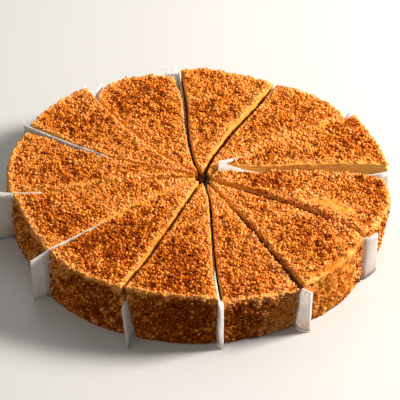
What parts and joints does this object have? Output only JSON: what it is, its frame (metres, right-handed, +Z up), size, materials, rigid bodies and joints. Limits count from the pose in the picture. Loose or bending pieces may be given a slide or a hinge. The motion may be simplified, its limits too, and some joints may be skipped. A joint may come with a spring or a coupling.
{
  "type": "honey cake",
  "caption": "Round layered honey cake coated in golden crumbs, cut into wedge slices that stand together, with a folded paper divider round the tip of each slice.",
  "frame": {"origin": "middle of the footprint, paper flaps included, on the plane that the slices stand on", "axes": "+Z up out of the crumb-covered top; -Y towards the front of the cake as it is seen; +X to its right"},
  "size_m": [0.2743, 0.2674, 0.0419],
  "materials": {
    "honey_crumb": "dry, coarse crumb coat over soft cake",
    "divider_paper": "matte baking paper"
  },
  "bodies": {
    "root": {"slice_01": "honey_crumb", "slice_02": "honey_crumb", "slice_03": "honey_crumb", "slice_04": "honey_crumb", "slice_05": "honey_crumb", "slice_06": "honey_crumb", "slice_07": "honey_crumb", "slice_08": "honey_crumb", "slice_09": "honey_crumb", "slice_10": "honey_crumb", "slice_11": "honey_crumb", "slice_12": "honey_crumb", "paper_01": "divider_paper", "paper_02": "divider_paper", "paper_03": "divider_paper", "paper_04": "divider_paper", "paper_05": "divider_paper", "paper_06": "divider_paper", "paper_07": "divider_paper", "paper_08": "divider_paper", "paper_09": "divider_paper", "paper_10": "divider_paper", "paper_11": "divider_paper", "paper_12": "divider_paper"}
  },
  "joints": []
}
